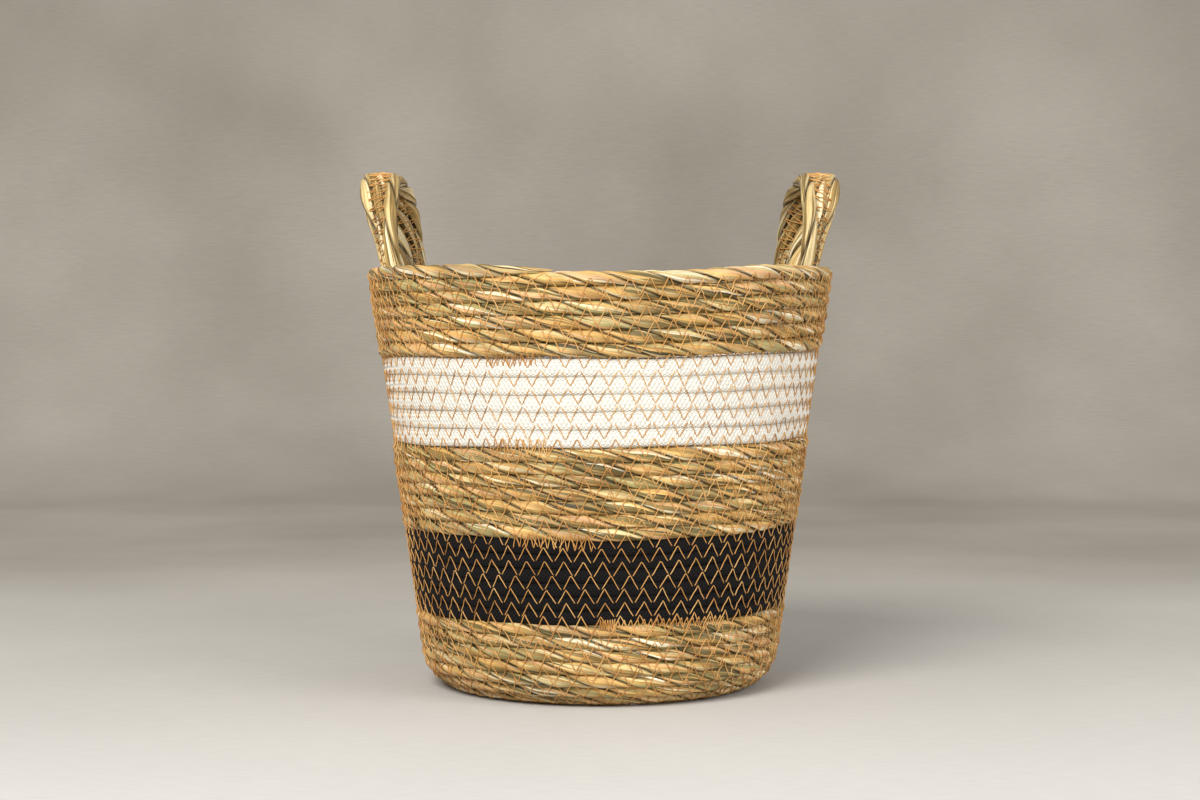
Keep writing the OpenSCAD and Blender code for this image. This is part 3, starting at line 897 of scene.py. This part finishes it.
def handle_frames():
    """Points, across and out directions along the left handle, front root to back root."""
    wall_r, wall_z, _ = section(np.array([WALL_S]))
    at_fold = wall_r[0] + (FOLD_Z - wall_z[0]) * math.tan(LEAN)
    fold_r = at_fold - ((GRASS_ROW - ROW_GAP) / 2 + HANDLE_R + ROOT_GAP) / math.cos(LEAN)
    turn = math.asin(SPAN / 2 / fold_r)
    fold = np.array([-fold_r * math.cos(turn), -SPAN / 2, FOLD_Z])
    up = np.array([-math.sin(LEAN) * math.cos(turn), -math.sin(LEAN) * math.sin(turn),
                   math.cos(LEAN)])
    top = np.array([fold[0] - OUTREACH, 0.0, FOLD_Z + RISE])
    a, b, c, d = fold, fold + LEG_PULL * up, top - np.array([0, TOP_PULL, 0]), top
    u = np.linspace(0, 1, ARCH_POINTS)[:, None]
    arch = (1 - u) ** 3 * a + 3 * u * (1 - u) ** 2 * b + 3 * u * u * (1 - u) * c + u ** 3 * d
    root = fold - up * np.linspace(ROOT, ROOT_CLEAR, ROOT_POINTS)[:, None]
    half = np.concatenate([root, arch])
    ease = np.concatenate([np.zeros(len(root)), (u * u * (3 - 2 * u))[:, 0]])
    swing = -(math.pi / 2 - turn) * (1 - ease)
    across = np.stack([np.cos(swing), np.sin(swing), np.zeros_like(swing)], 1)
    flip = np.array([1.0, -1.0, 1.0])
    points = np.concatenate([half, half[-2::-1] * flip])
    across = np.concatenate([across, across[-2::-1] * flip])
    t = unit(np.gradient(points, axis=0))
    across = unit(across - (across * t).sum(1, keepdims=True) * t)
    return points, across, np.cross(across, t)


def respaced(points, across, out, spacing):
    """The same line with evenly spaced points."""
    step = np.linalg.norm(np.diff(points, axis=0), axis=1)
    along = np.concatenate([[0.0], np.cumsum(step)])
    at = np.linspace(0, along[-1], round(along[-1] / spacing))
    pick = [np.stack([np.interp(at, along, v[:, i]) for i in range(3)], 1)
            for v in (points, across, out)]
    return pick[0], unit(pick[1]), unit(pick[2])


LINE, ACROSS, OUTWARD = handle_frames()
RIBBON_LENGTH = float(np.linalg.norm(np.diff(LINE, axis=0), axis=1).sum())
print("handle ribbon length mm:", round(RIBBON_LENGTH / MM))


# %% Handle cords and their stitches
def turned(v):
    """Turns points or directions back a little about the basket's axis."""
    c, s = math.cos(TURNED_BACK), math.sin(TURNED_BACK)
    return np.stack([c * v[:, 0] + s * v[:, 1], c * v[:, 1] - s * v[:, 0], v[:, 2]], 1)


def handle_path(offset, spacing, mirrored):
    p, w, o = (turned(v) for v in respaced(LINE, ACROSS, OUTWARD, spacing))
    p = p + offset * RIBBON_WIDER * w
    if mirrored:
        p, w, o = (v * np.array([-1.0, 1.0, 1.0]) for v in (p, w, o))
    return finish_path(p, o, w)


END_TAPER, CORD_POINTS, THREAD_POINTS = 6 * MM, 2.0 * MM, 0.6 * MM
RIBBON_CORDS = (("outer", -CORD_STEP), ("middle", 0.0), ("inner", CORD_STEP))
handles = []
for side in ("left", "right"):
    group = []
    for number, (word, offset) in enumerate(RIBBON_CORDS):
        path = taper(handle_path(offset, CORD_POINTS, side == "right"), END_TAPER)
        path["full"] = path["full"] * np.clip(path["along"] / END_TAPER, THINNEST, 1) ** BLUNTNESS
        made = run_tree(f"{side}_handle_{word}_ribbon_cord", path, TWISTED_CORD, Sides=20,
                        Lay=60 * MM, Offset=1.75 * MM, Thick=2.5 * MM, Wide=3.7 * MM, Ridges=0.5,
                        Seed=40.0 + number * 7 + (side == "right") * 31, Material=HANDLE_GRASS)
        replaced = [f"{side}_handle_{word}_cord"]
        if word == "middle":
            replaced += [f"{side}_front_root", f"{side}_back_root"]
        group.append(made)
        handles.append((made, side, replaced, "handle_grass"))
    skin = skin_of(group, side + "_ribbon_skin")
    for face, word in ((1.0, "outer"), (-1.0, "inner")):
        path = handle_path(0.0, THREAD_POINTS, side == "right")
        made = run_tree(f"{side}_handle_{word}_stitches", path, STITCHES, Skin=skin,
                        Pitch=6.4 * MM, Side=face, Reach_up=7.4 * MM, Reach_down=7.4 * MM, Dive_up=0.3 * MM,
                        Dive_down=0.3 * MM, Wander=0.8, Thread=0.38 * MM, Seed=60.0 + face,
                        Material=THREAD)
        replaced = [f"{side}_handle_stitch"] if face > 0 else [
            f"{side}_front_root_stitch", f"{side}_back_root_stitch"]
        handles.append((made, side, replaced, "thread"))
    bpy.data.objects.remove(skin)

# %% [markdown]
# ## Joining the wall's pieces to the basket
#
# Everything sewn in the wall rides on the basket. The handles' cords and threads stay where
# they are made and ride on no body.

# %% Riding
bpy.data.objects.remove(wall_skin)
for band, made in cords.items():
    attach(made, "basket")
    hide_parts(band + "_coil")
for made, node in threads:
    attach(made, "basket")
    if node:
        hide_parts(node)
for made, side, nodes, slot in handles:
    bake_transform(made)
    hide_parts(*nodes)

# %% [markdown]
# ## Floor, light and camera
#
# The basket stands on a pale cloth that runs back and up behind it. One broad soft light stands
# high in front on the left, a weaker one on the right, and the sky of the room fills the rest.


# %% Floor
FLOOR_FRONT, FLOOR_BACK, FLOOR_HALF, FLOOR_BEND, WALL_HIGH = -2.4, 1.35, 3.2, 0.5, 2.4
WEAVE_PATTERN, CLOUD_PATTERN = (60.0, 900.0, 900.0), 2.2
# Painted light and shade: the cloth is painted lighter near the front and darker towards the back and up
# the wall.
NEAR, FAR = -0.75, 0.9      # the cloth darkens from here to there


def backdrop():
    """A floor that curves up into a wall behind the basket, in one sheet."""
    profile = [(FLOOR_FRONT, 0.0), (FLOOR_BACK, 0.0)]
    profile += [(FLOOR_BACK + FLOOR_BEND * math.sin(a), FLOOR_BEND * (1 - math.cos(a)))
                for a in np.linspace(0.1, math.pi / 2, 14)]
    profile.append((FLOOR_BACK + FLOOR_BEND, WALL_HIGH))
    at = [(x, y, z) for y, z in profile for x in (-FLOOR_HALF, FLOOR_HALF)]
    faces = [(2 * k, 2 * k + 1, 2 * k + 3, 2 * k + 2) for k in range(len(profile) - 1)]
    mesh = bpy.data.meshes.new("floor")
    mesh.from_pydata(at, [], faces)
    for face in mesh.polygons:
        face.use_smooth = True
    made = bpy.data.objects.new("floor", mesh)
    bpy.context.scene.collection.objects.link(made)
    return made


def linen():
    made, tree, shader = new_material("pale_linen")
    place = result(put(tree, "ShaderNodeTexCoord"), "Object")
    slub = noise(tree, vec(tree, "MULTIPLY", place, WEAVE_PATTERN), 1.0, 2.0)
    cloud = noise(tree, place, CLOUD_PATTERN, 3.0)
    colour = ramp(tree, cloud, [(0.3, "#8a847b"), (0.7, "#a5a098")])
    depth = put(tree, "ShaderNodeSeparateXYZ", place)
    # Painted light: a lighter colour fades in towards the front of the cloth.
    front_painted_light = spread(tree, depth.outputs[1], NEAR, FAR, 1.0, 0.0)
    colour = blend_colour(tree, "MIX", front_painted_light, colour, tint("#c2c1c0"))
    light = spread(tree, slub, 0.3, 0.7, 0.94, 1.05)
    colour = blend_colour(tree, "MULTIPLY", 1.0, colour, xyz(tree, light, light, light))
    tree.links.new(colour, shader.inputs["Base Color"])
    shader.inputs["Roughness"].default_value = 0.95
    relief(tree, shader, slub, 0.15, 0.5 * MM)
    return made


floor = backdrop()
floor.data.materials.append(linen())
floor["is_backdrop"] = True


# %% Light
def soft_light(name, at, to, width, power, colour):
    data = bpy.data.lights.new(name, "AREA")
    data.shape = "DISK"
    data.size = width
    data.energy = power
    data.color = colour
    made = bpy.data.objects.new(name, data)
    made.location = at
    made.rotation_euler = (Vector(to) - Vector(at)).to_track_quat("-Z", "Y").to_euler()
    bpy.context.scene.collection.objects.link(made)
    return made


AIM = (0.0, 0.0, 0.15)
# Each light: where it stands, how wide it is, its power and its colour.
LIGHTS = {"key": ((-0.9, -2.0, 1.9), 1.5, 94.0, (1.0, 0.975, 0.925)),
          "fill": ((1.8, -1.3, 1.1), 1.6, 28.0, (1.0, 0.98, 0.95))}
for name, (at, width, power, colour) in LIGHTS.items():
    soft_light(name, at, AIM, width, power, colour)
ROOM_COLOUR, ROOM_LIGHT = (1.0, 0.98, 0.94, 1.0), 0.62
world = bpy.data.worlds.new("room")
world.use_nodes = True
world.node_tree.nodes["Background"].inputs["Color"].default_value = ROOM_COLOUR
world.node_tree.nodes["Background"].inputs["Strength"].default_value = ROOM_LIGHT
bpy.context.scene.world = world
bpy.context.scene.view_settings.view_transform = "Standard"

# %% Camera
LENS = 68.25
CAMERA_AT, LOOKS_DOWN = (0.0, -1.383, 0.2205), math.radians(2.02)
camera_data = bpy.data.cameras.new("camera")
camera_data.sensor_width = 36.0
camera_data.lens = LENS
camera = bpy.data.objects.new("camera", camera_data)
camera.location = CAMERA_AT
camera.rotation_euler = (math.pi / 2 - LOOKS_DOWN, 0.0, 0.0)
bpy.context.scene.collection.objects.link(camera)
bpy.context.scene.camera = camera

# %% [markdown]
# ## Sizes at the end
#
# Both boxes, the CAD part's and the looks', are printed. The looks must stay in the CAD
# part's box.

# %% Print the sizes and finish
seen_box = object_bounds()
sizes = {"cad": [list(map(float, corner)) for corner in cad_box],
         "visual": [list(map(float, corner)) for corner in seen_box]}
print("CAD box:", sizes["cad"], "looks box:", sizes["visual"])
